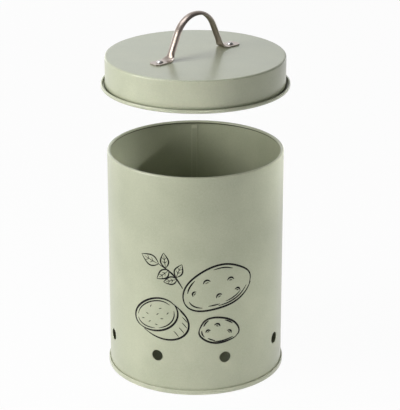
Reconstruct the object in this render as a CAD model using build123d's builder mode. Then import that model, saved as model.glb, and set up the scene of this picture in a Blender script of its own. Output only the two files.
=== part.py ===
"""Round steel keeper for potatoes: a vented bin, and a slip-over lid that lifts off by a strap handle.

Millimetres, +Z up. The origin is on the axis of the bin, in the plane that it stands on, and the
bin's front looks along -Y. The lid is held level above the bin, LID_LIFT clear of its rim.
"""

import os
from math import cos, degrees, radians, tan

from build123d import *

# Sheet and bin
SHEET = 0.5  # coated steel sheet of the bin, the base and the lid
BIN_RADIUS = 90.0  # outside of the wall
BIN_HEIGHT = 235.0  # from the table to the top of the rim
RIM_CURL = 3.4  # outer diameter of the inward curl round the mouth
RIM_CURL_TURN = 255.0  # degrees that the curl turns through
LAP_WIDTH = 6.0  # of the welded lap that closes the wall, on its inside
LAP_TURN = 93.9  # where the lap is, in degrees anticlockwise from +X
LAP_END_GAP = 2.0  # from the lap's ends to the curl and to the base

# Vents, in one row round the wall
VENT_DIAMETER = 12.0
VENT_HEIGHT = 40.0
VENT_COUNT = 8

# Base, and the double seam that joins it to the wall
FOLD_GAP = 0.05  # between the layers of the seam
FOLD_END_GAP = 0.35  # from the end of a hook to the fold that it sits in
SEAM_HEIGHT = 5.0
BASE_RECESS = 6.2  # from the table to the underside of the panel
BASE_BEND = 0.9  # bend of the sheet's middle where the panel turns down to the seam

# Lid
LID_CLEARANCE = 0.6  # between the bin's wall and the skirt, all round
LID_HEIGHT = 32.0
LID_EDGE_BEND = 1.6  # bend of the sheet's middle between top and skirt
CURL_REACH = 4.4  # from the outside of the skirt to the outside of its curl
CURL_BEND = 1.6  # bends at the foot of the curl, to the sheet's middle
CURL_RISE = 1.0  # straight part of the curl's outer leg
CURL_LIP = 0.75  # radius of the roll on the curl's free edge, to the sheet's middle
CURL_LIP_TURN = 200.0
LID_SEAT_GAP = 0.3  # from the rim to the top of the closed lid
LID_LIFT = 67.0  # from the rim to the lower edge of the lid

# Handle: a strip with two flat tabs, bent up between them and pressed there to a half-oval
HANDLE_TURN = 46.0  # of the handle on the lid, in degrees anticlockwise from +X
STRIP = 1.2  # thickness of the strip
STRIP_SEAT = 0.1  # from the lid's sheet to the underside of the tabs
TAB_WIDTH = 14.0
TAB_CLIP = 3.0  # cut off each corner of a tab
TAB_END = 9.0  # from the rivet's axis to the end of the tab
TAB_RUN = 1.0  # flat strip between the tab and its bend
GRIP_WIDTH = 10.0
GRIP_CROWN = 2.0  # how far the pressing lifts the middle of the strip over its edges
GRIP_CLEARANCE = 41.0  # from the tabs' underside to the strip's edges at the top of the arch
GRIP_RADIUS = 26.0  # of the arch, to the strip's edges
LEG_ANGLE = 66.0  # between a leg and the lid, in degrees
LEG_BEND = 7.5  # of the bend from tab to leg, to the underside of the strip
CROWN_START = 3.0  # from the end of the tab to where the crown begins
CROWN_RUN = 10.0  # length of strip over which the crown rises
FLAT_CROWN = 0.02  # crown of the strip where it counts as flat
CROWN_STEPS = 13  # cross-sections from a tab to the full crown

# Rivets and their washers
RIVET_SPACING = 96.0
RIVET_SHANK = 3.2
RIVET_HEAD = 7.6
RIVET_HEAD_HEIGHT = 2.0
RIVET_TAIL = 5.2
RIVET_TAIL_HEIGHT = 1.4
RIVET_FIT = 0.05  # between a shank and its holes, all round
WASHER_DIAMETER = 9.0
WASHER_THICKNESS = 0.8

# Middles of the sheet's layers through the seam, from the base's own wall outwards
LAYER = SHEET + FOLD_GAP
WALL_LINE = BIN_RADIUS - SHEET / 2
BASE_WALL_LINE = WALL_LINE - LAYER
BASE_HOOK_LINE = WALL_LINE + LAYER
WALL_HOOK_LINE = WALL_LINE + 2 * LAYER
SEAM_LINE = WALL_LINE + 3 * LAYER
FOLD_BEND = 0.998 * LAYER  # two such bends turn the sheet back on itself, two layers away

# Heights and radii of the lid
LID_BOTTOM = BIN_HEIGHT + LID_LIFT
LID_TOP = LID_BOTTOM + LID_HEIGHT
LID_UNDERSIDE = LID_TOP - SHEET
LID_TRAVEL = LID_UNDERSIDE - BIN_HEIGHT - LID_SEAT_GAP  # from here down to the closed lid
SKIRT_LINE = BIN_RADIUS + LID_CLEARANCE + SHEET / 2
CURL_LINE = SKIRT_LINE + CURL_REACH

# Handle, from its middle outwards
LEG_FOOT = (GRIP_CLEARANCE - GRIP_RADIUS + GRIP_RADIUS / cos(radians(LEG_ANGLE))) / tan(radians(LEG_ANGLE))
LEG_PEAK = LEG_FOOT * tan(radians(LEG_ANGLE))  # where the lines of the two legs would meet
TAB_INNER = LEG_FOOT + LEG_BEND * tan(radians(LEG_ANGLE / 2)) + TAB_RUN
TAB_OUTER = RIVET_SPACING / 2 + TAB_END

LID_PLANE = Plane.XY.offset(LID_TOP).rotated((0, 0, HANDLE_TURN))
TAB_PLANE = LID_PLANE.offset(STRIP_SEAT)
HANDLE_PLANE = Plane(TAB_PLANE.origin, x_dir=TAB_PLANE.x_dir, z_dir=-TAB_PLANE.y_dir)


def strip_section(strip: Wire, share: float) -> Sketch:
    """The handle's cross-section at a share of its length, flat near the tabs and crowned between."""
    run = (min(share, 1 - share) * strip.length - CROWN_START) / CROWN_RUN
    run = min(max(run, 0), 1)
    crown = run * run * (3 - 2 * run)
    half_width = (TAB_WIDTH + (GRIP_WIDTH - TAB_WIDTH) * crown) / 2
    half_hollow = half_width - STRIP * crown
    edge = STRIP * (1 - crown)
    rise = max(GRIP_CROWN * crown, FLAT_CROWN)
    with BuildSketch(Plane(strip @ share, x_dir=TAB_PLANE.y_dir, z_dir=strip % share)) as section:
        with BuildLine():
            outside = ThreePointArc((-half_width, edge), (0, rise + STRIP), (half_width, edge))
            inside = ThreePointArc((-half_hollow, 0), (0, rise), (half_hollow, 0))
            Line(outside @ 0, inside @ 0)
            Line(outside @ 1, inside @ 1)
        make_face()
    return section.sketch


with BuildPart() as bin_wall:
    with BuildSketch(Plane.XZ):
        with BuildLine():
            wall = FilletPolyline(
                (WALL_HOOK_LINE, SEAM_HEIGHT - 1.5 * SHEET - FOLD_END_GAP),
                (WALL_HOOK_LINE, SHEET / 2 + LAYER),
                (WALL_LINE, SHEET / 2 + LAYER),
                (WALL_LINE, BIN_HEIGHT - RIM_CURL / 2),
                radius=FOLD_BEND,
            )
            JernArc(wall @ 1, wall % 1, (RIM_CURL - SHEET) / 2, RIM_CURL_TURN)
            offset(amount=SHEET / 2, side=Side.BOTH)
        make_face()
    revolve(axis=Axis.Z)
    lap_low = BASE_RECESS + SHEET + LAP_END_GAP
    lap_high = BIN_HEIGHT - RIM_CURL - LAP_END_GAP
    lap_arc = degrees(LAP_WIDTH / BIN_RADIUS)
    with BuildSketch(Plane.XZ.rotated((0, 0, LAP_TURN - lap_arc / 2))):
        with Locations((BIN_RADIUS - 2 * SHEET, lap_low)):
            Rectangle(1.5 * SHEET, lap_high - lap_low, align=Align.MIN)
    revolve(axis=Axis.Z, revolution_arc=lap_arc)
    for vent in range(VENT_COUNT):
        outwards = Vector(0, -1, 0).rotate(Axis.Z, (vent + 0.5) * 360 / VENT_COUNT)
        with BuildSketch(Plane((0, 0, VENT_HEIGHT), z_dir=outwards)):
            Circle(VENT_DIAMETER / 2)
        extrude(amount=BIN_RADIUS + SHEET, mode=Mode.SUBTRACT)

with BuildPart() as base_pan:
    panel_radius = BASE_WALL_LINE - BASE_BEND - SHEET
    with BuildSketch(Plane.XZ):
        with BuildLine():
            FilletPolyline(
                (panel_radius, BASE_RECESS + SHEET / 2),
                (BASE_WALL_LINE, BASE_RECESS + SHEET / 2),
                (BASE_WALL_LINE, SHEET / 2),
                (SEAM_LINE, SHEET / 2),
                (SEAM_LINE, SEAM_HEIGHT - SHEET / 2),
                (BASE_HOOK_LINE, SEAM_HEIGHT - SHEET / 2),
                (BASE_HOOK_LINE, 1.5 * SHEET + LAYER + FOLD_END_GAP),
                radius=[BASE_BEND] + 4 * [FOLD_BEND],
            )
            offset(amount=SHEET / 2, side=Side.BOTH)
        make_face()
    revolve(axis=Axis.Z)
    with BuildSketch(Plane.XY.offset(BASE_RECESS)):
        Circle(panel_radius)
    extrude(amount=SHEET)

with BuildPart() as lid_pan:
    panel_radius = SKIRT_LINE - LID_EDGE_BEND - SHEET
    with BuildSketch(Plane.XZ):
        with BuildLine():
            skirt = FilletPolyline(
                (panel_radius, LID_TOP - SHEET / 2),
                (SKIRT_LINE, LID_TOP - SHEET / 2),
                (SKIRT_LINE, LID_BOTTOM + SHEET / 2),
                (CURL_LINE, LID_BOTTOM + SHEET / 2),
                (CURL_LINE, LID_BOTTOM + SHEET / 2 + CURL_BEND + CURL_RISE),
                radius=[LID_EDGE_BEND] + 2 * [CURL_BEND],
            )
            JernArc(skirt @ 1, skirt % 1, CURL_LIP, CURL_LIP_TURN)
            offset(amount=SHEET / 2, side=Side.BOTH)
        make_face()
    revolve(axis=Axis.Z)
    with BuildSketch(LID_PLANE):
        Circle(panel_radius)
        with GridLocations(RIVET_SPACING, 0, 2, 1):
            Circle(RIVET_SHANK / 2 + RIVET_FIT, mode=Mode.SUBTRACT)
    extrude(amount=-SHEET)

with BuildLine(HANDLE_PLANE) as arch:
    FilletPolyline(
        (-TAB_INNER, 0), (-LEG_FOOT, 0), (0, LEG_PEAK), (LEG_FOOT, 0), (TAB_INNER, 0),
        radius=[LEG_BEND, GRIP_RADIUS, LEG_BEND],
    )
strip = arch.wire()
grip_start = (CROWN_START + CROWN_RUN) / strip.length  # as a share of the strip's length

with BuildPart() as handle_strap:
    sweep(sections=strip_section(strip, grip_start), path=strip.trim(grip_start, 1 - grip_start))
    for end in (0, 1 - grip_start):
        steps = [end + grip_start * step / CROWN_STEPS for step in range(CROWN_STEPS + 1)]
        loft(sections=[strip_section(strip, share) for share in steps])
    with BuildSketch(TAB_PLANE) as tabs:
        with GridLocations(TAB_OUTER + TAB_INNER, 0, 2, 1):
            Rectangle(TAB_OUTER - TAB_INNER, TAB_WIDTH)
        ends = tabs.vertices().group_by(Axis.X)
        chamfer(ends[0] + ends[-1], TAB_CLIP)
        with GridLocations(RIVET_SPACING, 0, 2, 1):
            Circle(RIVET_SHANK / 2 + RIVET_FIT, mode=Mode.SUBTRACT)
    extrude(amount=STRIP)

# Heights in the rivets, from the underside of the tabs
head_top = STRIP + RIVET_HEAD_HEIGHT
washer_seat = -STRIP_SEAT - SHEET
tail_seat = washer_seat - WASHER_THICKNESS
tail_end = tail_seat - RIVET_TAIL_HEIGHT
rivets = {}
washers = {}
for side, place in (("left", -RIVET_SPACING / 2), ("right", RIVET_SPACING / 2)):
    rivet_plane = Plane(HANDLE_PLANE.from_local_coords((place, 0)), HANDLE_PLANE.x_dir, HANDLE_PLANE.z_dir)
    with BuildPart() as rivet:
        with BuildSketch(rivet_plane):
            with BuildLine():
                head = TangentArc((0, head_top), (RIVET_HEAD / 2, STRIP), tangent=(1, 0))
                tail = TangentArc((0, tail_end), (RIVET_TAIL / 2, tail_seat), tangent=(1, 0))
                Polyline(head @ 1, (RIVET_SHANK / 2, STRIP), (RIVET_SHANK / 2, tail_seat), tail @ 1)
                Line(head @ 0, tail @ 0)
            make_face()
        revolve(axis=Axis(rivet_plane.origin, (0, 0, 1)))
    rivets[side] = rivet
    with BuildPart() as washer:
        with BuildSketch(Plane(rivet_plane.origin + Vector(0, 0, washer_seat))):
            Circle(WASHER_DIAMETER / 2)
            Circle(RIVET_SHANK / 2 + RIVET_FIT, mode=Mode.SUBTRACT)
        extrude(amount=-WASHER_THICKNESS)
    washers[side] = washer

os.makedirs("parts", exist_ok=True)
bin_wall.part.label = "bin_wall"
export_step(bin_wall.part, "parts/bin_wall.step")
base_pan.part.label = "base_pan"
export_step(base_pan.part, "parts/base_pan.step")
lid_pan.part.label = "lid_pan"
export_step(lid_pan.part, "parts/lid_pan.step")
handle_strap.part.label = "handle_strap"
export_step(handle_strap.part, "parts/handle_strap.step")
for side in rivets:
    rivets[side].part.label = f"rivet_{side}"
    export_step(rivets[side].part, f"parts/rivet_{side}.step")
    washers[side].part.label = f"washer_{side}"
    export_step(washers[side].part, f"parts/washer_{side}.step")

print(f"lid travel from rest to closed {LID_TRAVEL:.2f} mm, lid top at {LID_TOP:.1f} mm")
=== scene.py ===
"""Looks of the round steel keeper for potatoes: its vented bin, its lid and the strap handle.

Lengths inside the classes are millimetres, as in the part's source, and each finished mesh is
scaled once to metres. The bin's front looks along -Y and the lid is held level above the rim.
"""

import logging
from dataclasses import dataclass
from enum import Enum
from math import asin, atan, cos, degrees, pi, radians, sin, tan

import bmesh
import bpy
from mathutils import Matrix, Vector


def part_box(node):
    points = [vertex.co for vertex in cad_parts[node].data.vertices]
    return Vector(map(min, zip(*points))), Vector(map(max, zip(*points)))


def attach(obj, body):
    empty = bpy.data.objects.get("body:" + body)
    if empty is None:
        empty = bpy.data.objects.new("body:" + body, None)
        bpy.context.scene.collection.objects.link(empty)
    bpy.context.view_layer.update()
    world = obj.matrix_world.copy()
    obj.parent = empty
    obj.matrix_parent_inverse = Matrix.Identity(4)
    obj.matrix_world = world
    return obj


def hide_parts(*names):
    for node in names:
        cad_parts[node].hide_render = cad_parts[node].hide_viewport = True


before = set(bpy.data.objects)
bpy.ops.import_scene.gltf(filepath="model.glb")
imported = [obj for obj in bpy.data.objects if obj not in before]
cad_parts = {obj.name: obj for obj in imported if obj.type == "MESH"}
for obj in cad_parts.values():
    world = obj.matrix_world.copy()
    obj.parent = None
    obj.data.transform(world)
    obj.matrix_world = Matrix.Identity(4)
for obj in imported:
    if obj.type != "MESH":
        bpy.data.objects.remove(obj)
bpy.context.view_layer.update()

MM = 0.001
SHEET = 0.5  # coated steel sheet of the bin, the base and the lid
RING_STEPS = 288  # sides of a ring, four to each 5 degrees
SMALL_RING_STEPS = 48  # sides of a rivet or a washer
FOLD_STEPS = 5  # edges of a quarter turn in the base seam
VENT_ROWS = 4  # rows of faces from a vent's middle to the edge of its patch
FADE = 0.8  # length of the run beside a bend in which the bend's mark fades
NEAR = 1e-5  # less than this apart is the same place
EDGE_LAYER = "edge_wear_highlight_and_fold_shade"  # vertex attribute: 1 and more where the coat is rubbed and where a highlight is painted, -1 where shade is painted deep in a fold
RUN_LAYER = "strap_run"  # vertex attribute: distance along a drawn line
STRAP_MAP = "strap_map"  # UV map of the strap, in metres along and across it

log = logging.getLogger("potato_keeper")

Colour = tuple[float, float, float]
Paint = tuple[float, float, float, float]
Place = tuple[float, float, float]
Point = tuple[float, float]
Socket = bpy.types.NodeSocket
Sockets = dict[str, Socket]
Mesh = bmesh.types.BMesh
Layer = bmesh.types.BMLayerItem


class Body(Enum):
    """The bodies that the pieces ride on."""

    BIN = "bin"
    LID = "lid"


class Slot(Enum):
    """The material slots of the record."""

    SAGE = "sage_coat"
    STRAP = "strap_steel"
    RIVET = "rivet_steel"
    WASHER = "washer_steel"


# Node trees


class NodeSheet:
    """One node tree, to which nodes are added with their inputs named."""

    def __init__(self, tree: bpy.types.NodeTree) -> None:
        """Starts on an empty tree."""
        self.tree = tree
        tree.nodes.clear()

    def add(self, kind: str, inputs: dict | None = None, **settings: object) -> bpy.types.Node:
        """Adds a node and fills its inputs.

        Args:
            kind: Blender's type name of the node.
            inputs: Input name or number, and the value or the socket that feeds it.
            **settings: Properties of the node itself, which are set first.

        Returns:
            The new node.
        """
        node = self.tree.nodes.new(kind)
        for name, value in settings.items():
            setattr(node, name, value)
        for name, value in (inputs or {}).items():
            if isinstance(value, Socket):
                self.tree.links.new(value, node.inputs[name])
            else:
                node.inputs[name].default_value = value
        return node

    def math(self, operation: str, *values: object) -> Socket:
        """Adds a Math node of numbers or sockets, and gives its output."""
        return self.add("ShaderNodeMath", dict(enumerate(values)), operation=operation).outputs[0]

    def blend(self, first: Socket, share: float, second: Socket) -> Socket:
        """Adds up two values: the share of the first, and the rest of the second."""
        return self.math("ADD", self.math("MULTIPLY", first, share), self.math("MULTIPLY", second, 1 - share))

    def noise(self, at: Socket, scale: float, detail: float = 2.0) -> Socket:
        """Adds a noise texture, in cells to a metre and octaves of detail, and gives a value about 0.5."""
        return self.add("ShaderNodeTexNoise", {"Vector": at, "Scale": scale, "Detail": detail}).outputs["Fac"]

    def spread(self, value: Socket, low: float, high: float, start: float = 0.0, end: float = 1.0) -> Socket:
        """Maps a value from the range low to high onto start to end, and holds it there."""
        ends = {"Value": value, "From Min": low, "From Max": high, "To Min": start, "To Max": end}
        return self.add("ShaderNodeMapRange", ends).outputs["Result"]

    def mix(self, share: object, first: object, second: object) -> Socket:
        """Adds a colour mix: 6 and 7 are the node's colour inputs, 2 its colour output."""
        return self.add("ShaderNodeMix", {0: share, 6: first, 7: second}, data_type="RGBA").outputs[2]

    def here(self) -> Socket:
        """Adds the piece's own coordinates, in metres."""
        return self.add("ShaderNodeTexCoord").outputs["Object"]

    def edge_mark(self) -> Socket:
        """Adds the mark of rubbed edges and painted highlights, up to 1 and more, and of painted shade in folds,
        down to -1.
        """
        return self.add("ShaderNodeAttribute", attribute_name=EDGE_LAYER).outputs["Fac"]

    def surface(self, colour: Socket, rough: Socket, height: Socket, relief: Point, more: dict) -> bpy.types.Node:
        """Adds a Principled shader whose normal follows a height.

        Args:
            colour: Its base colour.
            rough: Its roughness.
            height: What its bump is drawn from.
            relief: Strength of the bump, and its depth in metres.
            more: Values of other inputs.

        Returns:
            The shader node.
        """
        bump = self.add("ShaderNodeBump", {"Height": height, "Strength": relief[0], "Distance": relief[1]})
        inputs = {"Base Color": colour, "Roughness": rough, "Normal": bump.outputs[0]}
        return self.add("ShaderNodeBsdfPrincipled", inputs | more)


def linear(red: int, green: int, blue: int) -> Paint:
    """Turns an sRGB colour of 0 to 255 into the linear one that the shaders take, with an alpha of 1."""
    shares = [c / 255 for c in (red, green, blue)]
    return tuple(s / 12.92 if s <= 0.04045 else ((s + 0.055) / 1.055) ** 2.4 for s in shares) + (1.0,)


class Effect:
    """A shader node group with named inputs and outputs, made on its first use."""

    name: str
    inputs: dict[str, str]  # name and socket type, "Vector" or "Float"
    outputs: tuple[str, ...]  # all of them values

    def draw(self, sheet: NodeSheet, given: Sockets) -> Sockets:
        """Draws the group's nodes, from its inputs to what feeds its outputs; each effect has its own."""
        raise NotImplementedError

    def group(self) -> bpy.types.NodeTree:
        """Gives the group, and builds it if no material has used it yet.

        Returns:
            The node group.
        """
        made = bpy.data.node_groups.get(self.name)
        if made:
            return made
        made = bpy.data.node_groups.new(self.name, "ShaderNodeTree")
        for name, kind in self.inputs.items():
            made.interface.new_socket(name, in_out="INPUT", socket_type=f"NodeSocket{kind}")
        for name in self.outputs:
            made.interface.new_socket(name, in_out="OUTPUT", socket_type="NodeSocketFloat")
        sheet = NodeSheet(made)
        entry = sheet.add("NodeGroupInput")
        given = {name: entry.outputs[name] for name in self.inputs}
        sheet.add("NodeGroupOutput", self.draw(sheet, given))
        return made

    def place(self, sheet: NodeSheet, inputs: dict) -> Sockets:
        """Places the effect in a material's tree, with its inputs, and gives its outputs by name."""
        node = sheet.add("ShaderNodeGroup", inputs, node_tree=self.group())
        return {name: node.outputs[name] for name in self.outputs}


class CoatGrain(Effect):
    """Powder coat: fine specks of tone, a soft mottle and the orange peel that the powder melts to."""

    name = "coat_grain"
    inputs = {"Vector": "Vector"}
    outputs = ("Speck", "Mottle", "Peel")

    def draw(self, sheet: NodeSheet, given: Sockets) -> Sockets:
        """Draws specks of 0.5 mm among larger ones, a mottle of 40 mm and a peel of 2 mm with finer grain on it.

        Args:
            sheet: The group's tree.
            given: The place on the piece, as Vector.

        Returns:
            Speck and Mottle about 0.5, and Peel as a height.
        """
        at = given["Vector"]
        speck = sheet.blend(sheet.noise(at, 1900), 0.65, sheet.noise(at, 620))
        peel = sheet.math("ADD", sheet.noise(at, 480, 1), sheet.math("MULTIPLY", sheet.noise(at, 2600, 1), 0.35))
        return {"Speck": speck, "Mottle": sheet.noise(at, 24), "Peel": peel}


class EdgeRub(Effect):
    """Where handling has thinned a finish, and where the coat's marks paint a highlight: on marked edges, in
    patches.
    """

    name = "edge_rub"
    inputs = {"Vector": "Vector", "Edge": "Float", "Reach": "Float"}
    outputs = ("Rubbed",)

    def draw(self, sheet: NodeSheet, given: Sockets) -> Sockets:
        """Breaks the marked edge up with noise.

        Args:
            sheet: The group's tree.
            given: Vector, the Edge's mark, and Reach, how easily it rubs.

        Returns:
            Rubbed, from 0 to 1, and 0 in folds.
        """
        at = given["Vector"]
        patches = sheet.math("ADD", sheet.noise(at, 90, 3), sheet.noise(at, 900))
        marked = sheet.math("MULTIPLY", given["Edge"], sheet.math("MULTIPLY", patches, given["Reach"]))
        return {"Rubbed": sheet.spread(marked, 0.35, 0.95)}


class BrushLines(Effect):
    """Fine lines that a belt leaves along a strip of steel, with soft smudges over them."""

    name = "brush_lines"
    inputs = {"Vector": "Vector", "Along": "Float", "Across": "Float"}
    outputs = ("Line", "Smudge")

    def draw(self, sheet: NodeSheet, given: Sockets) -> Sockets:
        """Stretches noise along the strip.

        Args:
            sheet: The group's tree.
            given: Vector, whose X runs along the lines, and cells to a metre Along and Across.

        Returns:
            Line and Smudge, about 0.5.
        """
        at = given["Vector"]
        scale = sheet.add("ShaderNodeCombineXYZ", {"X": given["Along"], "Y": given["Across"], "Z": given["Across"]})
        stretched = sheet.add("ShaderNodeVectorMath", {0: at, 1: scale.outputs[0]}, operation="MULTIPLY")
        return {"Line": sheet.noise(stretched.outputs[0], 1.0, 3), "Smudge": sheet.noise(at, 110)}


COAT_GRAIN = CoatGrain()
EDGE_RUB = EdgeRub()
BRUSH_LINES = BrushLines()


# Finishes


@dataclass(frozen=True)
class Finish:
    """A procedural finish that is made a material on its first use."""

    name: str

    def material(self) -> bpy.types.Material:
        """Gives the material, and builds it if no piece has used it yet.

        Returns:
            The material.
        """
        made = bpy.data.materials.get(self.name)
        if made:
            return made
        made = bpy.data.materials.new(self.name)
        made.use_nodes = True
        sheet = NodeSheet(made.node_tree)
        sheet.add("ShaderNodeOutputMaterial", {"Surface": self.draw(sheet).outputs[0]})
        return made

    def draw(self, sheet: NodeSheet) -> bpy.types.Node:
        """Draws the finish's nodes and gives its shader; each finish has its own."""
        raise NotImplementedError


@dataclass(frozen=True)
class PowderCoat(Finish):
    """Satin powder coat on steel sheet."""

    coat: Paint = linear(184, 188, 163)
    shade: Paint = linear(165, 170, 145)  # of the darker specks
    pale: Paint = linear(206, 208, 186)  # where it is rubbed thin, and painted highlight on marked edges, the lap's edges and the seam's ring
    painted_fold_shade: Paint = linear(58, 61, 48)  # painted shade deep in a fold, where the curl hides the light
    gloss: float = 0.42  # roughness of the film

    def draw(self, sheet: NodeSheet) -> bpy.types.Node:
        """Draws specks, mottle, orange peel, rubbed edges with painted highlights, and painted shade in folds.

        Args:
            sheet: The material's tree.

        Returns:
            The shader node.
        """
        at, edge = sheet.here(), sheet.edge_mark()
        grain = COAT_GRAIN.place(sheet, {"Vector": at})
        rub = EDGE_RUB.place(sheet, {"Vector": at, "Edge": edge, "Reach": 0.8})["Rubbed"]
        tone = sheet.blend(grain["Speck"], 0.6, grain["Mottle"])
        body = sheet.mix(sheet.spread(tone, 0.36, 0.64), self.shade, self.coat)
        # pale where edges are rubbed and where highlights are painted: marked edges, the lap's edges, the seam's
        # ring
        rubbed = sheet.mix(sheet.math("MULTIPLY", rub, 0.7), body, self.pale)
        # painted shade where the mark is below 0, in folds
        colour = sheet.mix(sheet.spread(edge, -1.0, -0.15, 0.85, 0.0), rubbed, self.painted_fold_shade)
        film = sheet.spread(grain["Mottle"], 0.3, 0.7, self.gloss, self.gloss + 0.07)
        rough = sheet.math("ADD", film, sheet.math("MULTIPLY", rub, -0.08))
        more = {"Specular IOR Level": 0.5, "Coat Weight": 0.5, "Coat Roughness": 0.22}
        return sheet.surface(colour, rough, grain["Peel"], (0.28, 0.00006), more)


@dataclass(frozen=True)
class Steel(Finish):
    """Worked steel: lines of light and dark, and brighter edges."""

    bright: Paint
    dark: Paint
    rubbed: Paint

    def metal(self, sheet: NodeSheet, line: Socket, half: float, rough: Socket, relief: float) -> bpy.types.Node:
        """Draws the metal over its lines.

        Args:
            sheet: The material's tree.
            line: The lines, about 0.5.
            half: Half of the range in which they turn from dark to bright.
            rough: The metal's roughness.
            relief: Strength of the lines' bump.

        Returns:
            The shader node.
        """
        rub = EDGE_RUB.place(sheet, {"Vector": sheet.here(), "Edge": sheet.edge_mark(), "Reach": 1.0})["Rubbed"]
        body = sheet.mix(sheet.spread(line, 0.5 - half, 0.5 + half), self.dark, self.bright)
        colour = sheet.mix(sheet.math("MULTIPLY", rub, 0.5), body, self.rubbed)
        return sheet.surface(colour, rough, line, (relief, 0.00002), {"Metallic": 1.0})


@dataclass(frozen=True)
class StrapSteel(Steel):
    """Stainless strip, brushed along its length and warm in tone."""

    def draw(self, sheet: NodeSheet) -> bpy.types.Node:
        """Draws the belt's lines along the strip, and smudges from fingers.

        Args:
            sheet: The material's tree.

        Returns:
            The shader node.
        """
        run = sheet.add("ShaderNodeUVMap", uv_map=STRAP_MAP).outputs[0]
        line = BRUSH_LINES.place(sheet, {"Vector": run, "Along": 40.0, "Across": 2600.0})["Line"]
        smudge = BRUSH_LINES.place(sheet, {"Vector": sheet.here(), "Along": 1.0, "Across": 1.0})["Smudge"]
        smudged = sheet.spread(smudge, 0.35, 0.65, 0.29, 0.38)
        rough = sheet.math("ADD", smudged, sheet.spread(line, 0.3, 0.7, -0.04, 0.05))
        return self.metal(sheet, line, 0.18, rough, 0.06)


@dataclass(frozen=True)
class TurnedSteel(Steel):
    """Small steel parts: formed rivets and stamped washers."""

    rough: float

    def draw(self, sheet: NodeSheet) -> bpy.types.Node:
        """Draws fine scratches and smudges.

        Args:
            sheet: The material's tree.

        Returns:
            The shader node.
        """
        lines = BRUSH_LINES.place(sheet, {"Vector": sheet.here(), "Along": 700.0, "Across": 4200.0})
        rough = sheet.spread(lines["Smudge"], 0.35, 0.65, self.rough, self.rough + 0.1)
        return self.metal(sheet, lines["Line"], 0.15, rough, 0.2)


@dataclass(frozen=True)
class PrintInk(Finish):
    """Dark ink of the screen-printed drawing, a little uneven in its cover."""

    ink: Paint = linear(6, 6, 5)
    thin: Paint = linear(18, 19, 17)

    def draw(self, sheet: NodeSheet) -> bpy.types.Node:
        """Draws the ink with thin places where the coat's peel shows through.

        Args:
            sheet: The material's tree.

        Returns:
            The shader node.
        """
        grain = COAT_GRAIN.place(sheet, {"Vector": sheet.here()})
        colour = sheet.mix(sheet.spread(grain["Speck"], 0.45, 0.7), self.ink, self.thin)
        rough = sheet.spread(grain["Mottle"], 0.3, 0.7, 0.42, 0.55)
        return sheet.surface(colour, rough, grain["Peel"], (0.2, 0.00005), {"Specular IOR Level": 0.2})


BRIGHT_EDGE = linear(226, 224, 220)
SAGE_COAT = PowderCoat("sage_powder_coat")
STRAP_STEEL = StrapSteel("strap_steel_brushed", linear(176, 164, 156), linear(150, 138, 129), linear(214, 209, 202))
RIVET_STEEL = TurnedSteel("rivet_steel_formed", linear(214, 212, 209), linear(170, 167, 163), BRIGHT_EDGE, 0.2)
WASHER_STEEL = TurnedSteel("washer_steel_stamped", linear(190, 190, 188), linear(150, 150, 150), BRIGHT_EDGE, 0.3)
PRINT_INK = PrintInk("drawing_ink")


# Shapes


class SheetLine:
    """A pen that draws the middle of a bent sheet in the plane y = 0, from a radius and a height."""

    def __init__(self, across: float, up: float, heading: float = 0.0) -> None:
        """Sets the pen down.

        Args:
            across: Where it starts, along +X.
            up: Where it starts, along +Z.
            heading: Degrees from +X towards +Z.
        """
        self.mesh = bmesh.new()
        self.edge = self.mesh.verts.layers.float.new(EDGE_LAYER)
        self.run_at = self.mesh.verts.layers.float.new(RUN_LAYER)
        self.heading = heading
        self.drawn = 0.0
        self.tip = self.mesh.verts.new((across, 0, up))

    def mark(self, wear: float) -> "SheetLine":
        """Marks the tip's point: up to 1 and more where it is rubbed, down to -1 in a fold."""
        self.tip[self.edge] = wear
        return self

    def run(self, length: float, steps: int = 1) -> "SheetLine":
        """Draws a straight run.

        Args:
            length: Its length.
            steps: How many edges it has.

        Returns:
            The pen.
        """
        direction = Vector((cos(radians(self.heading)), 0, sin(radians(self.heading))))
        for _ in range(steps):
            tip = bmesh.ops.extrude_vert_indiv(self.mesh, verts=[self.tip])["verts"][0]
            bmesh.ops.translate(self.mesh, verts=[tip], vec=direction * length / steps)
            self.move_tip(tip, length / steps, 0.0)
        return self

    def bend(self, turn: float, radius: float, steps: int, wear: float = 0.6) -> "SheetLine":
        """Draws a bend that starts along the heading.

        Args:
            turn: Degrees that it turns through, positive towards +Z from +X.
            radius: Radius of the bend.
            steps: How many edges it has.
            wear: Mark of its points, as for mark.

        Returns:
            The pen.
        """
        side = 1 if turn > 0 else -1
        heading = radians(self.heading)
        centre = self.tip.co + Vector((-sin(heading), 0, cos(heading))) * radius * side
        each = radians(turn / steps)
        for _ in range(steps):
            made = bmesh.ops.spin(self.mesh, geom=[self.tip], cent=centre, axis=(0, -1, 0), angle=each, steps=1)
            self.move_tip(made["geom_last"][0], abs(each) * radius, wear)
        self.heading += turn
        return self

    def move_tip(self, tip: bmesh.types.BMVert, length: float, wear: float) -> None:
        """Takes a new point as the tip.

        Args:
            tip: The point.
            length: How much longer the drawn line is with it.
            wear: Its mark.
        """
        self.tip = tip
        self.drawn += length
        tip[self.run_at] = self.drawn
        tip[self.edge] = wear

    def ring(self, steps: int = RING_STEPS) -> Mesh:
        """Spins the drawn line into a ring round the Z axis.

        Args:
            steps: Sides of the ring.

        Returns:
            The mesh.
        """
        line = self.mesh.verts[:] + self.mesh.edges[:]
        bmesh.ops.spin(self.mesh, geom=line, axis=(0, 0, 1), angle=2 * pi, steps=steps, use_merge=True)
        bmesh.ops.remove_doubles(self.mesh, verts=self.mesh.verts, dist=0.0005)
        bmesh.ops.recalc_face_normals(self.mesh, faces=self.mesh.faces)
        return self.mesh


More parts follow.
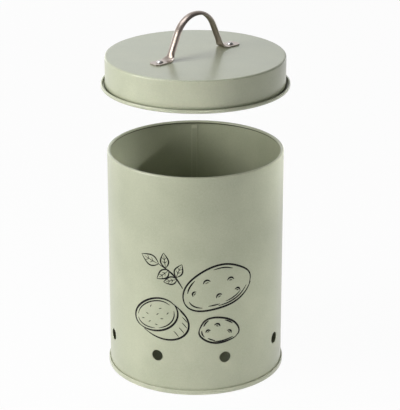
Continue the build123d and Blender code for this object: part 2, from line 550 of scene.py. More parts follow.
def add_object(name: str, mesh: Mesh) -> bpy.types.Object:
    """Puts a mesh in the scene.

    Args:
        name: Name of the object and of its mesh.
        mesh: The mesh, which is used up.

    Returns:
        The object.
    """
    data = bpy.data.meshes.new(name)
    mesh.to_mesh(data)
    mesh.free()
    made = bpy.data.objects.new(name, data)
    bpy.context.scene.collection.objects.link(made)
    return made


@dataclass(frozen=True)
class Piece:
    """What a finished piece is called, what it rides on and what it stands for."""

    name: str
    body: Body
    node: str
    slot: Slot
    finish: Finish
    sharp: float = 50.0  # degrees from which an edge is bevelled

    def settle(self, mesh: Mesh, thickness: float = 0.0, edge: float = 0.0) -> None:
        """Args:
            mesh: The piece in millimetres, which is used up.
            thickness: Of the sheet whose middle the mesh is, or 0 for a closed body.
            edge: Width of the bevel on its edges, or 0 for none.
        """
        bmesh.ops.scale(mesh, vec=(MM, MM, MM), verts=mesh.verts)
        for face in mesh.faces:
            face.smooth = True
        piece = add_object(self.name, mesh)
        if thickness:
            wall = piece.modifiers.new("sheet", "SOLIDIFY")
            wall.thickness = thickness * MM
            wall.offset = 0.0
            wall.use_even_offset = True
        if edge:
            bevel = piece.modifiers.new("edge", "BEVEL")
            bevel.width = edge * MM
            bevel.segments = 2
            bevel.limit_method = "ANGLE"
            bevel.angle_limit = radians(self.sharp)
            bevel.harden_normals = True
        piece.data.materials.append(self.finish.material())
        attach(piece, self.body.value)
        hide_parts(self.node)
        log.info("%s: %d faces, stands for %s", self.name, len(piece.data.polygons), self.node)


@dataclass
class Bin:
    """The bin: wall with its vents, the lap that closes it, and the base seamed to it."""

    radius: float = 90.0
    height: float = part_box("bin_wall")[1].z / MM
    curl: float = 3.4  # outer diameter of the rim's curl
    curl_turn: float = 255.0
    curl_over: float = 175.0  # part of that turn that lies above the curl's shaded underside
    rim_fade: float = 1.0  # length below the curl in which its mark fades
    vent: float = 12.0
    vent_height: float = 40.0
    vents: int = 8
    vent_dish: float = 0.2  # how far a vent's edge is pressed in
    fold_gap: float = 0.05
    fold_end_gap: float = 0.35
    seam: float = 5.0
    recess: float = 6.2
    base_bend: float = 0.9
    lap_width: float = 6.0
    lap_turn: float = 93.9
    lap_end_gap: float = 2.0
    lap_edge_highlight: float = 2.5  # mark of the lap's edge: a painted highlight line
    seam_rub_and_highlight: float = 0.75  # mark of the seam's outer face: rub, and a painted highlight that brightens the ring

    @property
    def layer(self) -> float:
        """Distance between the middles of two layers in the seam."""
        return SHEET + self.fold_gap

    @property
    def wall_line(self) -> float:
        """Radius of the wall sheet's middle."""
        return self.radius - SHEET / 2

    def build(self) -> None:
        """Builds the bin's pieces."""
        self.build_wall()
        self.build_lap()
        self.build_base()

    def build_wall(self) -> None:
        """Draws the wall from its hook in the seam to its curl, spins it and punches the vents."""
        row = 2 * pi * self.wall_line / RING_STEPS
        foot = SHEET / 2 + self.layer
        hook = self.seam - 1.5 * SHEET - self.fold_end_gap
        vents_from = self.vent_height - VENT_ROWS * row
        vents_to = self.vent_height + VENT_ROWS * row
        straight_to = self.height - self.curl / 2
        pen = SheetLine(self.wall_line + 2 * self.layer, hook, -90).mark(1.0)
        pen.run(hook - foot - self.layer)
        pen.bend(-90, self.layer, FOLD_STEPS, 0.0).bend(-90, self.layer, FOLD_STEPS, 0.0)
        pen.run(vents_from - foot - self.layer, 6).run(vents_to - vents_from, 2 * VENT_ROWS)
        pen.run(straight_to - vents_to - self.rim_fade, 24).run(self.rim_fade)
        curl_line = (self.curl - SHEET) / 2
        pen.bend(self.curl_over, curl_line, 17, 0.75)
        # the curl's underside is marked -1: painted shade
        pen.bend(self.curl_turn - self.curl_over, curl_line, 8, -1.0)
        wall = pen.ring()
        for vent in range(self.vents):
            self.punch_vent(wall, pen.edge, -90 + (vent + 0.5) * 360 / self.vents, row)
        Piece("bin_wall_sheet", Body.BIN, "bin_wall", Slot.SAGE, SAGE_COAT).settle(wall, SHEET, 0.12)

    def punch_vent(self, wall: Mesh, edge: Layer, turn: float, row: float) -> None:
        """Cuts one round vent, with rings of faces that follow its edge.

        Args:
            wall: The wall's mesh.
            edge: Its layer of edge marks.
            turn: Where the vent is, in degrees anticlockwise from +X.
            row: Height and width of the wall's faces there.
        """
        out, up = Vector((cos(radians(turn)), sin(radians(turn)), 0)), Vector((0, 0, 1))
        middle = out * self.wall_line + up * self.vent_height
        reach = VENT_ROWS * row
        aside = up.cross(out)
        too_deep = -5  # past this lies the wall's far side

        def inside(place: Vector, slack: float) -> bool:
            """Tells whether a place lies in the square patch of the vent."""
            offset = place - middle
            return max(abs(offset.dot(aside)), abs(offset.z)) < reach + slack and offset.dot(out) > too_deep

        patch = [face for face in wall.faces if inside(face.calc_center_median(), 0)]
        bmesh.ops.delete(wall, geom=patch, context="FACES")
        loop = [e for e in wall.edges if e.is_boundary and all(inside(v.co, 0.1) for v in e.verts)]
        to_wall = Matrix((aside, up, out)).transposed().to_4x4()
        to_wall.translation = middle
        # the vent's own edge is marked pale: rub, and a painted highlight where the cut edge catches the light
        for past_edge, sunk_by, wear in ((0.8, 0.0, 0.0), (0.35, 0.0, 0.2), (0.0, self.vent_dish, 0.5)):
            radius = self.vent / 2 + past_edge
            ring = bmesh.ops.create_circle(wall, segments=len(loop), radius=radius, matrix=to_wall)["verts"]
            sunk = self.wall_line - sunk_by
            for vert in ring:
                angle = radians(turn) + (vert.co - middle).dot(aside) / self.wall_line
                vert.co = Vector((cos(angle) * sunk, sin(angle) * sunk, vert.co.z))
                vert[edge] = wear
            rim = list({e for vert in ring for e in vert.link_edges})
            bmesh.ops.bridge_loops(wall, edges=loop + rim)
            loop = rim
        bmesh.ops.recalc_face_normals(wall, faces=wall.faces)

    def build_lap(self) -> None:
        """Spins a short arc of sheet: the welded lap inside the back of the wall."""
        low = self.recess + SHEET + self.lap_end_gap
        high = self.height - self.curl - self.lap_end_gap
        turn = self.lap_width / self.radius
        start = radians(self.lap_turn) - turn / 2
        pen = SheetLine(self.radius - 1.5 * SHEET, low, 90).run(high - low, 40)
        lap = pen.mesh
        bmesh.ops.rotate(lap, verts=lap.verts, matrix=Matrix.Rotation(start, 3, "Z"))
        bmesh.ops.spin(lap, geom=lap.verts[:] + lap.edges[:], axis=(0, 0, 1), angle=turn, steps=8)
        for vert in lap.verts:
            # the lap's edges are marked for a painted highlight line
            vert[pen.edge] = self.lap_edge_highlight if vert.is_boundary else 0.0
        bmesh.ops.recalc_face_normals(lap, faces=lap.faces)
        Piece("bin_wall_lap", Body.BIN, "bin_wall", Slot.SAGE, SAGE_COAT).settle(lap, SHEET, 0.1)

    def build_base(self) -> None:
        """Draws the base from its middle to the hook of the double seam, and spins it."""
        wall = self.wall_line - self.layer
        seam_line = self.wall_line + 3 * self.layer
        hook_line = self.wall_line + self.layer
        pen = SheetLine(0.0, self.recess + SHEET / 2)
        pen.run(wall - self.base_bend - FADE, 10).run(FADE)
        pen.bend(-90, self.base_bend, 6, 0.2)
        pen.run(self.recess - self.base_bend - self.layer, 2)
        pen.bend(90, self.layer, FOLD_STEPS, 0.6)
        pen.run(seam_line - wall - 2 * self.layer, 3)
        pen.bend(90, self.layer, FOLD_STEPS, 0.9)
        # the seam's outer face is paled: rub, and a painted highlight that brightens the ring
        for _ in range(3):
            pen.run((self.seam - SHEET - 2 * self.layer) / 3).mark(self.seam_rub_and_highlight)
        pen.bend(90, self.layer, FOLD_STEPS, 0.9).bend(90, self.layer, FOLD_STEPS, 0.2)
        end = 1.5 * SHEET + self.layer + self.fold_end_gap
        pen.run(self.seam - SHEET / 2 - self.layer - end, 2)
        assert abs(pen.tip.co.x - hook_line) < 0.01
        Piece("base_pan_sheet", Body.BIN, "base_pan", Slot.SAGE, SAGE_COAT).settle(pen.ring(), SHEET, 0.1)


@dataclass
class Lid:
    """The lid: a flat pan with a straight skirt and a rolled curl round its foot."""

    bin: Bin
    bottom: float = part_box("lid_pan")[0].z / MM
    top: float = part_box("lid_pan")[1].z / MM
    clearance: float = 0.6
    edge_bend: float = 1.6
    curl_reach: float = 4.39  # just inside the solid's 4.4, as for the handle's clearance
    groove: float = 1.4  # height of the skirt that lies in the curl's shade
    groove_fade: float = 0.3  # height above it in which its mark fades
    curl_bend: float = 1.6
    curl_rise: float = 1.0
    curl_lip: float = 0.75
    curl_lip_turn: float = 200.0

    def build(self) -> None:
        """Draws the lid from its middle to the rolled lip of its curl, and spins it."""
        skirt = self.bin.radius + self.clearance + SHEET / 2
        pen = SheetLine(0.0, self.top - SHEET / 2)
        pen.run(skirt - self.edge_bend - FADE, 12).run(FADE)
        pen.bend(-90, self.edge_bend, 10, 0.55)
        straight = self.top - self.bottom - SHEET - self.edge_bend - self.curl_bend
        pen.run(FADE).run(straight - FADE - self.groove - self.groove_fade, 6)
        # the skirt under the curl's lip and the start of the curl's bend are marked below 0: painted shade in the
        # groove
        pen.run(self.groove_fade).mark(-0.6)
        pen.run(self.groove, 2).mark(-1.0)
        pen.bend(45, self.curl_bend, 4, -1.0).bend(45, self.curl_bend, 4, 0.0)
        pen.run(self.curl_reach - 2 * self.curl_bend)
        pen.bend(90, self.curl_bend, 8, 0.6)
        pen.run(self.curl_rise, 2)
        pen.bend(self.curl_lip_turn, self.curl_lip, 14, 0.85).mark(1.0)
        Piece("lid_pan_sheet", Body.LID, "lid_pan", Slot.SAGE, SAGE_COAT).settle(pen.ring(), SHEET, 0.12)


@dataclass
class Handle:
    """The strap handle, and the rivets and washers that hold it on the lid."""

    lid: Lid
    turn: float = 46.0  # on the lid, in degrees anticlockwise from +X
    strip: float = 1.2
    seat: float = 0.1  # from the lid to the tabs' underside
    tab_width: float = 14.0
    tab_clip: float = 3.0
    tab_end: float = 9.0
    tab_run: float = 1.0
    grip_width: float = 10.0
    grip_crown: float = 2.0
    clearance: float = 40.95  # just inside the solid's, as the faceted bend stands a little proud
    grip_radius: float = 26.0
    leg_angle: float = 66.0
    leg_bend: float = 7.5
    crown_start: float = 3.0
    crown_run: float = 10.0
    across: int = 16  # faces across the strip
    rivet_spacing: float = 96.0
    rivet_fit: float = 0.05  # between a shank and its washer, all round
    shank: float = 3.2
    head: float = 7.6
    head_height: float = 2.0
    tail: float = 5.2
    tail_height: float = 1.4
    washer: float = 9.0
    washer_thickness: float = 0.8

    def build(self) -> None:
        """Builds the handle's pieces."""
        self.build_strap()
        for side, place in (("left", -self.rivet_spacing / 2), ("right", self.rivet_spacing / 2)):
            for part, way, slot, finish, line, bevel in (
                ("rivet", "formed", Slot.RIVET, RIVET_STEEL, self.rivet_line(), 0.15),
                ("washer", "stamped", Slot.WASHER, WASHER_STEEL, self.washer_line(), 0.12),
            ):
                mesh = self.seat_on_lid(line.ring(SMALL_RING_STEPS), place)
                piece = Piece(f"{part}_{side}_{way}", Body.LID, f"{part}_{side}", slot, finish)
                piece.settle(mesh, 0.0, bevel)

    def seat_on_lid(self, mesh: Mesh, place: float = 0.0) -> Mesh:
        """Moves a mesh from the handle's own frame to its place on the lid.

        Args:
            mesh: Drawn with z = 0 at the underside of the tabs and X along the handle.
            place: How far along the handle it goes.

        Returns:
            The same mesh.
        """
        up, turn = Matrix.Translation((0, 0, self.lid.top + self.seat)), Matrix.Rotation(radians(self.turn), 4, "Z")
        bmesh.ops.transform(mesh, matrix=up @ turn @ Matrix.Translation((place, 0, 0)), verts=mesh.verts)
        return mesh

    def build_strap(self) -> None:
        """Draws the strip's line from tab to tab, widens it, presses its crown and clips its corners."""
        lean = radians(self.leg_angle)
        foot = (self.clearance - self.grip_radius + self.grip_radius / cos(lean)) / tan(lean)
        leg = foot / cos(lean) - self.grip_radius * tan(lean) - self.leg_bend * tan(lean / 2)
        tab_inner = foot + self.leg_bend * tan(lean / 2) + self.tab_run
        tab_outer = self.rivet_spacing / 2 + self.tab_end
        tab = tab_outer - tab_inner
        tab_steps, bend_steps, leg_steps, arch_steps = 12, 12, 18, 56
        pen = SheetLine(-tab_outer, 0.0).run(tab, tab_steps).run(self.tab_run, 2)
        pen.bend(self.leg_angle, self.leg_bend, bend_steps, 0.3).run(leg, leg_steps)
        pen.bend(-2 * self.leg_angle, self.grip_radius, arch_steps, 0.2)
        pen.run(leg, leg_steps).bend(self.leg_angle, self.leg_bend, bend_steps, 0.3)
        pen.run(self.tab_run, 2).run(tab, tab_steps)
        mesh = pen.mesh
        lean_of = self.normals_along(mesh, pen.run_at)
        bmesh.ops.translate(mesh, verts=mesh.verts, vec=(0, -1, 0))
        for step in range(self.across):
            edge_y = -1 + 2 * step / self.across
            edges = [e for e in mesh.edges if all(abs(v.co.y - edge_y) < NEAR for v in e.verts)]
            made = bmesh.ops.extrude_edge_only(mesh, edges=edges)["geom"]
            new = [v for v in made if isinstance(v, bmesh.types.BMVert)]
            bmesh.ops.translate(mesh, verts=new, vec=(0, 2 / self.across, 0))
        self.map_strap(mesh, pen.run_at)
        for vert in mesh.verts:
            run = vert[pen.run_at]
            from_end = min(run, pen.drawn - run)
            if abs(vert.co.y) > 0.99 or from_end < 0.01:  # on one of the strip's edges
                vert[pen.edge] = 1.0
            crowned = (from_end - tab - self.crown_start) / self.crown_run
            self.press(vert, lean_of[round(run, 3)], min(max(crowned, 0), 1))
        bmesh.ops.recalc_face_normals(mesh, faces=mesh.faces)
        for end in (-1, 1):
            for side in (-1, 1):
                corner = (end * tab_outer, side * (self.tab_width / 2 - self.tab_clip), 0)
                geom = mesh.verts[:] + mesh.edges[:] + mesh.faces[:]
                cut = {"plane_co": corner, "plane_no": (end, side, 0), "clear_outer": True}
                bmesh.ops.bisect_plane(mesh, geom=geom, dist=1e-4, **cut)
        piece = Piece("handle_strap_pressed", Body.LID, "handle_strap", Slot.STRAP, STRAP_STEEL)
        piece.settle(self.seat_on_lid(mesh), self.strip, 0.22)

    def normals_along(self, mesh: Mesh, run_at: Layer) -> dict[float, Vector]:
        """Finds which way the strip's upper face looks at each point of its drawn line.

        Args:
            mesh: The line.
            run_at: Its layer of distances along it.

        Returns:
            The direction by distance.
        """
        line = sorted(mesh.verts, key=lambda vert: vert[run_at])
        found = {}
        for place, vert in enumerate(line):
            before, after = line[max(place - 1, 0)].co, line[min(place + 1, len(line) - 1)].co
            along = (after - before).normalized()
            found[round(vert[run_at], 3)] = Vector((-along.z, 0, along.x))
        return found

    def press(self, vert: bmesh.types.BMVert, up: Vector, share: float) -> None:
        """Moves a point from the flat strip to the pressed one.

        Args:
            vert: The point, with y from -1 to 1 across the strip.
            up: Which way the strip's upper face looks there.
            share: From 0 in the tabs to 1 in the grip.
        """
        crown = share * share * (3 - 2 * share)
        half = (self.tab_width + (self.grip_width - self.tab_width) * crown) / 2 - self.strip / 2 * crown
        rise = max((self.grip_crown + self.strip / 2) * crown, 0.001)
        bow = 2 * atan(rise / half)
        lift = self.strip / 2 * (1 - crown) + half * (cos(bow * vert.co.y) - cos(bow)) / sin(bow)
        across = half * sin(bow * vert.co.y) / sin(bow)
        vert.co = Vector((vert.co.x, across, vert.co.z)) + up * lift

    def map_strap(self, mesh: Mesh, run_at: Layer) -> None:
        """Lays the strip out flat in its UV map, in metres.

        Args:
            mesh: The strip, with y from -1 to 1 across it.
            run_at: Its layer of distances along it.
        """
        flat = mesh.loops.layers.uv.new(STRAP_MAP)
        for face in mesh.faces:
            for loop in face.loops:
                across = loop.vert.co.y * self.tab_width / 2
                loop[flat].uv = (loop.vert[run_at] * MM, across * MM)

    def rivet_line(self) -> SheetLine:
        """Draws a rivet's outline from the top of its head to the end of its tail.

        Returns:
            The pen.
        """
        tail_seat = -self.seat - SHEET - self.washer_thickness
        pen = SheetLine(0.0, self.strip + self.head_height)
        self.draw_dome(pen, self.head / 2, self.head_height, -1)
        pen.mark(1.0)
        pen.heading = 180
        pen.run((self.head - self.shank) / 2, 2)
        pen.heading = -90
        pen.run(self.strip - tail_seat, 3)
        pen.heading = 0
        pen.run((self.tail - self.shank) / 2, 2).mark(1.0)
        self.draw_dome(pen, self.tail / 2, self.tail_height, 1)
        return pen

    def draw_dome(self, pen: SheetLine, half: float, height: float, way: int) -> None:
        """Draws half of a shallow dome, from its top outwards or from its rim inwards.

        Args:
            pen: The pen, which stands where the dome starts.
            half: Half of the dome's width.
            height: Its height.
            way: -1 for the head, from its top to its rim, and 1 for the tail, from its rim to its end.
        """
        radius = (half * half + height * height) / (2 * height)
        turn = degrees(asin(half / radius))
        if way > 0:
            pen.heading = -180 + turn
            pen.bend(-turn, radius, 12, 0.3)
        else:
            pen.heading = 0
            pen.bend(-turn, radius, 14, 0.2)

    def washer_line(self) -> SheetLine:
        """Draws the outline of a washer's section.

        Returns:
            The pen.
        """
        inner = self.shank / 2 + self.rivet_fit
        breadth = self.washer / 2 - inner
        pen = SheetLine(inner, -self.seat - SHEET)
        for heading in (0, -90, 180, 90):
            pen.heading = heading
            level = heading in (0, 180)
            pen.run(breadth if level else self.washer_thickness, 2 if level else 1).mark(1.0)
        return pen


# The printed drawing


@dataclass(frozen=True)
class Stroke:
    """One line of the drawing, in millimetres across and up the unrolled wall."""

    points: tuple[Point, ...]
    width: float = 1.7
    tip: float = 0.35  # width at its two ends, as a share


def put(points: tuple[Point, ...], at: Point, lean: float, size: float) -> tuple[Point, ...]:
    """Gives points drawn about (0, 0) at a place, turned by a lean in degrees and scaled by a size."""
    c, s = cos(radians(lean)), sin(radians(lean))
    return tuple((at[0] + (a * c - b * s) * size, at[1] + (a * s + b * c) * size) for a, b in points)


@dataclass(frozen=True)
class SketchedPotato:
    """A whole potato in outline."""

    across: float
    up: float
    half_length: float
    half_height: float
    tilt: float  # degrees
    lumps: tuple[tuple[int, float, float], ...]  # waves round the outline, amount and phase in degrees

    def at(self, angle: float, share: float = 1.0) -> Point:
        """Gives a place on the potato.

        Args:
            angle: Degrees round it.
            share: Of the way from its middle to its outline.

        Returns:
            Across and up.
        """
        turn = radians(angle)
        lumps = (amount * cos(waves * turn + radians(phase)) for waves, amount, phase in self.lumps)
        swell = share * (1 + sum(lumps))
        x, y = self.half_length * cos(turn) * swell, self.half_height * sin(turn) * swell
        tilt = radians(self.tilt)
        return (self.across + x * cos(tilt) - y * sin(tilt), self.up + x * sin(tilt) + y * cos(tilt))

    def arc(self, start: float, end: float, share: float = 1.0, steps: int = 5, drift: float = 0.0,
            width: float = 1.7) -> Stroke:
        """Draws a line beside the outline, from one angle to another, whose share of the way out drifts."""
        shares = [step / steps for step in range(steps + 1)]
        return Stroke(tuple(self.at(start + (end - start) * s, share + drift * s) for s in shares), width)

    def outline(self) -> list[Stroke]:
        """Draws the outline in two strokes whose ends pass each other."""
        return [self.arc(-32, 196, 1.0, 16), self.arc(184, 334, 1.0, 12, 0.015)]

    def eye(self, angle: float, share: float, size: float, lean: float) -> list[Stroke]:
        """Draws an eye: a brow over a short dash.

        Args:
            angle: Where it is, in degrees round the potato.
            share: Of the way from the middle to the outline.
            size: Half of its length.
            lean: Its tilt in degrees.

        Returns:
            Its strokes.
        """
        brow = ((-1.0, -0.15), (-0.55, 0.42), (0.15, 0.55), (0.7, 0.3), (1.0, -0.25))
        dash = ((-0.42, -0.3), (0.05, -0.12), (0.45, -0.38))
        at = self.at(angle, share)
        return [Stroke(put(line, at, lean, size), width) for line, width in ((brow, 1.5), (dash, 1.2))]


@dataclass(frozen=True)
class HalvedPotato(SketchedPotato):
    """A potato cut across: its cut face with the ring under the skin, and the skin behind it."""

    depth: float = 16.0  # of the half behind the cut face
    back: float = -38.0  # which way the half lies behind it, in degrees

    def behind(self, angle: float) -> Point:
        """Gives a place on the outline of the skin behind the cut face.

        Args:
            angle: Degrees round the cut face.

        Returns:
            Across and up.
        """
        x, y = self.at(angle)
        bulge = max(cos(radians(angle + 62)), 0.0) ** 0.55
        away = radians(self.back)
        return (x + self.depth * bulge * cos(away), y + self.depth * bulge * sin(away))

    def outline(self) -> list[Stroke]:
        """Draws the cut face, the ring inside it and the skin behind.

        Returns:
            The strokes.
        """
        skin = Stroke(tuple(self.behind(angle) for angle in range(-150, 27, 11)))
        face = ((12, 214, 1.0, 16), (202, 374, 1.0, 14, 0.01))
        ring = ((20, 160, 0.84, 10, 0.015, 1.1), (172, 250, 0.86, 7, -0.02, 1.1), (262, 352, 0.84, 7, 0.015, 1.1))
        return [self.arc(*line) for line in face + ring] + [skin]


@dataclass(frozen=True)
class Sprig:
    """A sprig of potato leaves on a bent stem."""

    stem: tuple[Point, ...]
    leaves: tuple[tuple[float, float, float, float], ...]  # root across and up, lean in degrees, length

    def strokes(self) -> list[Stroke]:
        """Draws the stem, and each leaf as two sides, a middle rib and side ribs.

        Returns:
            The strokes.
        """
        drawn = [Stroke(self.stem, 1.6)]
        side = ((0.0, 0.0), (0.16, 0.2), (0.42, 0.31), (0.72, 0.2), (1.0, 0.0))
        leaf = [(side, 1.25), (tuple((a, -b * 0.9) for a, b in side), 1.25)]
        leaf.append((((0.0, 0.0), (0.45, 0.02), (0.82, 0.0)), 0.9))
        for rib in (0.3, 0.54):
            for middle, end in ((0.07, 0.16), (-0.06, -0.14)):
                leaf.append((((rib, 0.01), (rib + 0.08, middle), (rib + 0.15, end)), 0.75))
        for across, up, lean, length in self.leaves:
            drawn += [Stroke(put(line, (across, up), lean, length), width) for line, width in leaf]
        return drawn


@dataclass
class PotatoPrint:
    """The drawing of potatoes on the front of the bin: ink on the coat."""

    bin: Bin
    ink: float = 0.05  # how far a line stands out of the coat, as a share of its breadth
    pen: float = 0.64  # half the breadth of a line of width 1

    def strokes(self) -> list[Stroke]:
        """Gathers the drawing's lines.

        Returns:
            The strokes of two whole potatoes, a halved one and a sprig of leaves.
        """
        large = SketchedPotato(27.5, 117.0, 36.0, 23.5, 19.0, ((2, 0.035, 30), (3, 0.05, 110), (5, 0.014, 10)))
        small = SketchedPotato(29.0, 70.5, 22.0, 13.5, -9.0, ((2, 0.04, 200), (3, 0.05, 20), (5, 0.015, 80)))
        half = HalvedPotato(-37.0, 85.0, 25.0, 17.5, 25.0, ((2, 0.025, 60), (3, 0.03, 200)))
        drawn = large.outline() + small.outline() + half.outline()
        for eye in ((118, 0.52, 3.8, 22), (18, 0.46, 3.6, 6), (262, 0.4, 3.4, 34), (170, 0.68, 3.0, 62),
                    (318, 0.66, 3.0, -12)):
            drawn += large.eye(*eye)
        for eye in ((108, 0.4, 3.2, -14), (352, 0.5, 2.8, -34), (196, 0.56, 2.6, 24)):
            drawn += small.eye(*eye)
        shading = ((190, 226, 0.86, 5, 0.0, 1.2), (128, 166, 0.88, 5, -0.01, 1.3), (236, 262, 0.8, 4, 0.01, 1.2))
        one_more = ((276, 316, 0.78, 5, 0.01, 1.1),)
        for potato, low, end, more in ((large, 0.885, 86.0, one_more), (small, 0.875, 77.6, ())):
            arcs = ((258, 328, low, 7, 0.01, 1.25), *more, (44, end, 0.86, 5, -0.01, 1.2), *shading)
            drawn += [potato.arc(*arc) for arc in arcs]
        fleck_places = ((40, 0.42, 20), (150, 0.4, -20), (215, 0.5, 35), (300, 0.38, 5), (95, 0.6, 60),
                        (0, 0.1, 40), (255, 0.62, -10), (345, 0.56, 50), (180, 0.62, 8))
        for angle, share, lean in fleck_places:
            x, y = half.at(angle, share)
            start, end = put(((-1.5, 0.0), (1.5, 0.0)), (x, y), lean, 1.0)
            drawn.append(Stroke((start, (x + 0.2, y + 0.15), end), 1.05))
        for angle in (-74, -58, -42, -26, -10):
            x, y = half.behind(angle)
            drawn.append(Stroke(((x - 1.6, y + 1.3), (x - 3.8, y + 4.6), (x - 6.6, y + 7.2)), 1.05))
        sprig = Sprig(
            ((-8.0, 117.0), (-13.0, 126.0), (-21.0, 135.0), (-33.0, 141.0)),
            ((-33.0, 141.0, 160, 21.0), (-25.5, 137.8, 98, 16.0), (-22.0, 135.8, 220, 17.0),
             (-14.6, 128.8, 68, 15.5), (-13.6, 127.0, 198, 15.0)),
        )
        return drawn + sprig.strokes()

    def build(self) -> None:
        """Makes the strokes into flat threads of ink and wraps them round the wall."""
        curve = bpy.data.curves.new("potato_strokes", "CURVE")
        curve.dimensions = "3D"
        curve.bevel_depth = self.pen
        curve.bevel_resolution = 2
        curve.resolution_u = 5
        curve.use_fill_caps = True
        for stroke in self.strokes():
            spline = curve.splines.new("NURBS")
            last = len(stroke.points) - 1
            spline.points.add(last)
            for place, (across, up) in enumerate(stroke.points):
                spline.points[place].co = (across, 0, up, 1)
                swell = sin(pi * place / last) ** 0.6 if 0 < place < last else 0.0
                spline.points[place].radius = stroke.width * (stroke.tip + (1 - stroke.tip) * swell)
            spline.order_u = 3
            spline.use_endpoint_u = True
        threads = bpy.data.objects.new("potato_strokes", curve)
        mesh = bmesh.new()
        mesh.from_mesh(bpy.data.meshes.new_from_object(threads))
        bpy.data.objects.remove(threads)
        bmesh.ops.scale(mesh, vec=(1, 2 * self.ink, 1), verts=mesh.verts)
        for vert in mesh.verts:
            angle = vert.co.x / self.bin.radius
            out = self.bin.radius - vert.co.y
            vert.co = Vector((sin(angle) * out, -cos(angle) * out, vert.co.z))
        bmesh.ops.recalc_face_normals(mesh, faces=mesh.faces)
        Piece("potato_drawing", Body.BIN, "bin_wall", Slot.SAGE, PRINT_INK).settle(mesh)


# Studio


WHITE = (1.0, 1.0, 1.0)
WARM = (1.0, 0.995, 0.98)


@dataclass(frozen=True)
class Softbox:
    """A square area lamp that looks at the object. A narrow one isn't seen in mirror images."""

    name: str
    place: Place
    size: float
    watts: float
    tint: Colour = WHITE
    aim: Place = (0.0, 0.0, 0.18)
    spread: float = 180.0  # degrees that its light fans out through

    def hang(self) -> None:
        """Adds the lamp."""
        data = bpy.data.lights.new(self.name, "AREA")
        data.shape = "SQUARE"
        data.size = self.size
        data.energy = self.watts
        data.color = self.tint
        data.spread = radians(self.spread)
        lamp = bpy.data.objects.new(self.name, data)
        lamp.location = self.place
        lamp.rotation_mode = "QUATERNION"
        lamp.rotation_quaternion = (Vector(self.aim) - Vector(self.place)).to_track_quat("-Z", "Y")
        lamp.visible_glossy = self.spread == 180.0
        bpy.context.scene.collection.objects.link(lamp)


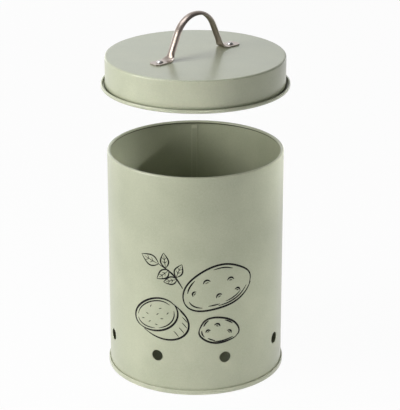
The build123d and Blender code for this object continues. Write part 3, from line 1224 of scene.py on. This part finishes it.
@dataclass
class Studio:
    """A pale floor, soft lamps, a white surround and the camera."""

    surround: float = 0.13  # light from all round
    floor_white: float = 0.96  # how much of the floor is plain white to the camera and to mirrors
    floor_glow: float = 0.22  # how much of it is white to light that bounces
    distance: float = 1.8  # of the camera from the bin's axis, along the floor
    height: float = 0.8626  # of the camera
    pitch: float = 20.98  # degrees that it looks down
    azimuth: float = 3.0  # degrees that it stands round to the right
    aside: float = 0.00458  # how far it stands beside the line to the axis
    focal_px: float = 1869.6  # focal length in pixels of the frame
    frame_px: float = 410.0  # the frame's long side

    def build(self) -> None:
        """Builds the studio."""
        scene = bpy.context.scene
        scene.view_settings.view_transform = "Standard"
        self.lay_floor()
        self.light_world()
        for box in (
            Softbox("key_left", (-1.61, -0.89, 0.7), 1.1, 28.5, (1.0, 0.99, 0.965)),
            Softbox("fill_right", (1.41, -0.5, 0.12), 0.12, 0.025, WARM, (0.0, 0.0, 0.12), 12.0),
            Softbox("rim_right", (1.4, -0.1, 0.66), 0.06, 0.024, WARM, (0.0, 0.0, 0.215), 6.0),
            Softbox("front", (0.85, -1.7, 0.3), 1.2, 6.3, WARM, (0.0, 0.0, 0.15)),
            Softbox("front_low", (-0.35, -1.45, 0.02), 0.14, 0.014, WARM, (0.0, 0.0, 0.02), 9.0),
            Softbox("base_high", (1.0, -0.5, 1.05), 0.12, 0.018, WARM, (0.05, -0.03, 0.02), 9.0),
            Softbox("front_lid", (-0.2, -1.46, 0.33), 0.1, 0.008, WARM, (0.0, 0.0, 0.33), 6.0),
            Softbox("back", (-0.35, 1.9, 1.0), 1.0, 1.6, (0.95, 0.97, 1.0), (0.0, 0.0, 0.25)),
            Softbox("back_left", (-0.95, 1.65, 0.25), 0.8, 3.0),
            Softbox("back_right", (0.95, 1.65, 0.25), 0.8, 1.45),
            Softbox("top", (-0.25, 0.0, 0.95), 0.45, 2.05, (0.94, 0.965, 1.0), (0.0, 0.0, 0.33)),
        ):
            box.hang()
        self.set_camera()

    def lay_floor(self) -> None:
        """Lays a wide floor that keeps the object's shadow and is white to the camera elsewhere."""
        mesh = bmesh.new()
        bmesh.ops.create_grid(mesh, x_segments=1, y_segments=1, size=6.0)
        floor = add_object("studio_floor", mesh)
        material = bpy.data.materials.new("studio_white")
        material.use_nodes = True
        sheet = NodeSheet(material.node_tree)
        matt = sheet.add("ShaderNodeBsdfDiffuse", {"Color": linear(240, 240, 240)})
        white = sheet.add("ShaderNodeEmission", {"Color": (1, 1, 1, 1), "Strength": 1.0})
        path = sheet.add("ShaderNodeLightPath")
        seen = sheet.math("MAXIMUM", path.outputs["Is Camera Ray"], path.outputs["Is Glossy Ray"])
        seen = sheet.math("MAXIMUM", seen, path.outputs["Is Transmission Ray"])
        lit = sheet.math("MULTIPLY", path.outputs["Is Diffuse Ray"], self.floor_glow)
        share = sheet.math("MAXIMUM", sheet.math("MULTIPLY", seen, self.floor_white), lit)
        both = sheet.add("ShaderNodeMixShader", {0: share, 1: matt.outputs[0], 2: white.outputs[0]})
        sheet.add("ShaderNodeOutputMaterial", {"Surface": both.outputs[0]})
        floor.data.materials.append(material)

    def light_world(self) -> None:
        """Gives an even light from all round, white to the camera and, towards the back left, to mirrors."""
        world = bpy.data.worlds.new("studio_surround")
        world.use_nodes = True
        sheet = NodeSheet(world.node_tree)
        light = sheet.add("ShaderNodeBackground", {"Color": (1, 1, 1, 1), "Strength": self.surround})
        white = sheet.add("ShaderNodeBackground", {"Color": (1, 1, 1, 1), "Strength": 1.0})
        path = sheet.add("ShaderNodeLightPath")
        way = sheet.add("ShaderNodeSeparateXYZ", {0: sheet.add("ShaderNodeTexCoord").outputs["Generated"]})
        back_left = sheet.math("SUBTRACT", way.outputs["Y"], sheet.math("MULTIPLY", way.outputs["X"], 0.5))
        backdrop = sheet.spread(back_left, 0.0, 1.1)
        mirrored = sheet.math("MULTIPLY", path.outputs["Is Glossy Ray"], backdrop)
        seen = sheet.math("MAXIMUM", path.outputs["Is Camera Ray"], path.outputs["Is Transmission Ray"])
        seen = sheet.math("MAXIMUM", seen, mirrored)
        both = sheet.add("ShaderNodeMixShader", {0: seen, 1: light.outputs[0], 2: white.outputs[0]})
        sheet.add("ShaderNodeOutputWorld", {"Surface": both.outputs[0]})
        bpy.context.scene.world = world

    def set_camera(self) -> None:
        """Sets the camera in front of the bin and above the lid, looking down."""
        data = bpy.data.cameras.new("camera")
        data.lens = self.focal_px / self.frame_px * data.sensor_width
        data.clip_start, data.clip_end = 0.05, 20.0
        camera = bpy.data.objects.new("camera", data)
        spot = Vector((self.aside, -self.distance, self.height))
        spot.rotate(Matrix.Rotation(radians(self.azimuth), 3, "Z"))
        camera.location = spot
        camera.rotation_euler = (radians(90 - self.pitch), 0, radians(self.azimuth))
        bpy.context.scene.collection.objects.link(camera)
        bpy.context.scene.camera = camera


def main() -> None:
    """Builds the pieces in order, then the studio."""
    logging.basicConfig(level=logging.INFO, format="%(name)s %(message)s")
    bin_ = Bin()
    bin_.build()
    PotatoPrint(bin_).build()
    lid = Lid(bin_)
    lid.build()
    Handle(lid).build()
    Studio().build()


if __name__ == "__main__":
    main()
